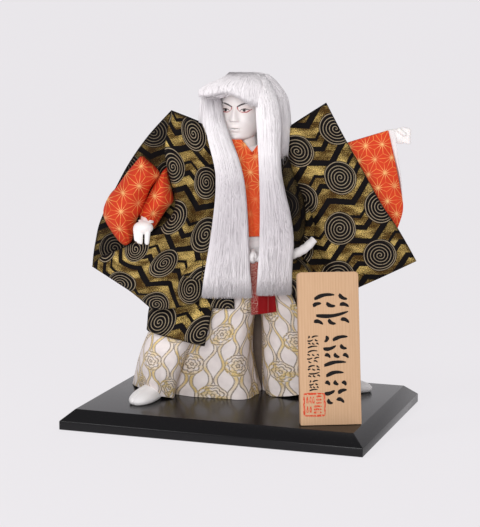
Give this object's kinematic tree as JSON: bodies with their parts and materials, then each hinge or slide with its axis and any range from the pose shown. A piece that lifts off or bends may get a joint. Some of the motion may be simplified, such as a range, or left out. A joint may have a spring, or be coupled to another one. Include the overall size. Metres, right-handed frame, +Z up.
{
  "type": "kabuki doll",
  "caption": "Standing costume doll of a lion dancer with long white hair, brocade robe and wide trousers, on a black lacquered plinth with a leaning wooden name board",
  "frame": {"origin": "middle of the plinth's underside", "axes": "+X along the plinth's front edge to the viewer's right, +Y towards its back, +Z up; the doll stands turned 18.81 degrees about Z on its plinth"},
  "size_m": [0.3087, 0.2182, 0.337],
  "materials": {
    "lacquer": "black lacquer, satin gloss",
    "board_wood": "plain light softwood with straight grain",
    "shell_white": "white shell lime coat, smooth and softly shining",
    "silk_hair": "long white silk threads",
    "white_cloth": "white cloth",
    "brocade": "black brocade with gold thread in zigzag bands and spiral discs",
    "orange_cloth": "orange crepe with gold lines in a star lattice",
    "figured_white": "white cloth with gold wave lines and flower medallions",
    "red_satin": "red satin"
  },
  "bodies": {
    "root": {"plinth": "lacquer", "name_board": "board_wood", "head": "shell_white", "wig": "silk_hair", "right_hand": "shell_white", "left_hand": "shell_white", "right_foot": "white_cloth", "left_foot": "white_cloth", "kimono": "brocade", "under_robe": "orange_cloth", "right_under_sleeve": "orange_cloth", "left_under_sleeve": "orange_cloth", "collar": "white_cloth", "hakama": "figured_white", "obi": "white_cloth", "waist_cord": "white_cloth", "red_panel": "red_satin"}
  },
  "joints": []
}
